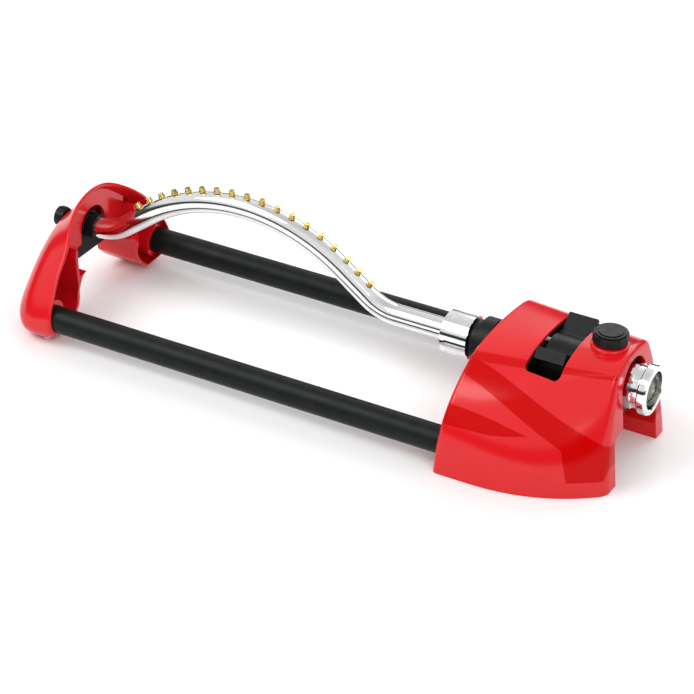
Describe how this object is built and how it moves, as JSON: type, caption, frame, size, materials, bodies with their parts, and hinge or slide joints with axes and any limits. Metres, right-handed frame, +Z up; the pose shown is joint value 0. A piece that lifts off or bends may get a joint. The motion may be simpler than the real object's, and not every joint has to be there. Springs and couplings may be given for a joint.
{
  "type": "oscillating lawn sprinkler",
  "caption": "Oscillating lawn sprinkler with an arched spray bar swinging between a hollow foot and a water-motor housing, joined by tube rails, with range tabs, flow knob and swivel hose inlet.",
  "frame": {"origin": "middle of the footprint on the ground: the centre of the underside of the whole object's box", "axes": "+X along the spray bar's axis towards the hose inlet, +Z up, +Y towards the rear tube"},
  "size_m": [0.4646, 0.162, 0.1177],
  "materials": {
    "red_shell": "glossy",
    "tube_black": "satin",
    "black_plastic": "fine texture",
    "bar_metal": "polished",
    "nozzle_brass": "machined",
    "chrome_trim": "plated",
    "white_plastic": "natural",
    "gear_yellow": "natural",
    "blue_plastic": "natural",
    "steel": "bright",
    "rubber": "matte",
    "filter_mesh": "woven mesh"
  },
  "bodies": {
    "frame": {"left_foot": "red_shell", "pivot_bracket": "black_plastic", "pivot_bush": "white_plastic", "front_tube": "tube_black", "rear_tube": "tube_black", "tube_screws": "steel", "snout": "black_plastic", "motor_cover": "red_shell", "base_plate": "black_plastic", "base_screws": "steel", "motor_case": "black_plastic", "case_lid": "black_plastic", "case_gasket": "rubber", "case_screws": "steel", "gear_plate": "white_plastic", "gear_axles": "steel", "jet_plate": "white_plastic", "range_band": "black_plastic", "inlet_body": "black_plastic", "inlet_flange": "rubber"},
    "bar": {"spray_bar": "bar_metal", "nozzles": "nozzle_brass", "bar_end_cap": "black_plastic", "coupling_nut": "chrome_trim", "bar_washer": "rubber", "output_shaft": "black_plastic", "output_gear": "white_plastic", "trip_arm": "white_plastic", "shaft_oring": "rubber"},
    "gear_1": {"first_gear": "white_plastic"},
    "gear_2": {"second_gear": "gear_yellow"},
    "turbine_wheel": {"turbine": "blue_plastic"},
    "flap": {"jet_flap": "blue_plastic"},
    "front_tab": {"range_tab_front": "black_plastic"},
    "rear_tab": {"range_tab_rear": "black_plastic"},
    "knob": {"flow_knob": "black_plastic", "knob_cap": "black_plastic", "valve_spindle": "white_plastic", "spindle_oring": "rubber"},
    "swivel": {"hose_coupling": "chrome_trim", "hose_washer": "rubber", "inlet_filter": "filter_mesh"},
    "plug": {"cleanout_plug": "black_plastic", "cleaning_pin": "steel"}
  },
  "joints": [
    {"name": "bar_swing", "type": "hinge", "parent": "frame", "child": "bar", "pos_m": [-0.18625, 0, 0.058], "axis": [1, 0, 0], "range_deg": [-45, 45]},
    {"name": "gear_1_spin", "type": "hinge", "parent": "frame", "child": "gear_1", "pos_m": [0.13375, 0, 0.04188], "axis": [1, 0, 0], "range_deg": [-106, 106]},
    {"name": "gear_2_spin", "type": "hinge", "parent": "frame", "child": "gear_2", "pos_m": [0.13975, 0.0152, 0.03444], "axis": [1, 0, 0], "range_deg": [-265, 265]},
    {"name": "turbine_spin", "type": "hinge", "parent": "frame", "child": "turbine_wheel", "pos_m": [0.15675, 0, 0.027], "axis": [1, 0, 0], "range_deg": [-660, 660]},
    {"name": "flap_throw", "type": "hinge", "parent": "frame", "child": "flap", "pos_m": [0.15675, 0, 0.0475], "axis": [1, 0, 0], "range_deg": [-15, 15]},
    {"name": "front_tab_set", "type": "hinge", "parent": "frame", "child": "front_tab", "pos_m": [0.16825, 0, 0.058], "axis": [1, 0, 0], "range_deg": [-32, 2]},
    {"name": "rear_tab_set", "type": "hinge", "parent": "frame", "child": "rear_tab", "pos_m": [0.16825, 0, 0.058], "axis": [1, 0, 0], "range_deg": [-2, 32]},
    {"name": "flow_turn", "type": "hinge", "parent": "frame", "child": "knob", "pos_m": [0.19875, 0, 0.0845], "axis": [0, 0, 1], "range_deg": [0, 90]},
    {"name": "swivel_spin", "type": "hinge", "parent": "frame", "child": "swivel", "pos_m": [0.22375, 0, 0.058], "axis": [1, 0, 0], "continuous": true},
    {"name": "plug_pull", "type": "slide", "parent": "frame", "child": "plug", "axis": [-1, 0, 0], "range_m": [0, 0.03]}
  ],
  "couplings": [
    {"joint": "gear_1_spin", "follows": "bar_swing", "ratio": -2.3333},
    {"joint": "gear_2_spin", "follows": "bar_swing", "ratio": 5.8333},
    {"joint": "turbine_spin", "follows": "bar_swing", "ratio": -14.583}
  ]
}
